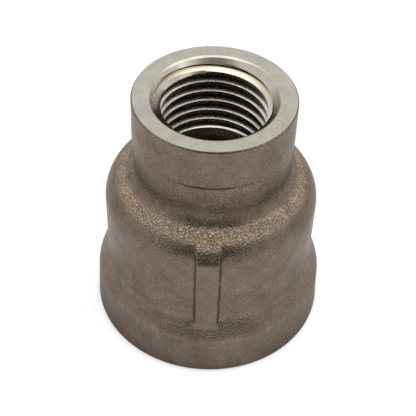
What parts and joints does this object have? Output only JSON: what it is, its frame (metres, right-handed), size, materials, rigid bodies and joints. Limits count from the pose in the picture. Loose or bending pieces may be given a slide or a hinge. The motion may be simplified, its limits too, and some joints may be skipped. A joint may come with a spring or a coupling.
{
  "type": "concentric reducer",
  "caption": "Short stepped pipe coupling, internally threaded at both ends, that joins a larger pipe to a smaller one on the same axis.",
  "frame": {"origin": "centre of the large end face, which it stands on", "axes": "+Z along the passage, from the large end to the small end; -Y towards the front rib"},
  "size_m": [0.0272, 0.0272, 0.03],
  "materials": {
    "cast_steel": "blasted cast stainless steel, matt, fine even grain",
    "machined_steel": "turned stainless steel, satin, fine circular tool marks"
  },
  "bodies": {
    "root": {"small_end_socket": "machined_steel", "reducing_shoulder": "cast_steel", "large_end_socket": "machined_steel", "large_end_band": "cast_steel", "wrench_ribs": "cast_steel"}
  },
  "joints": []
}
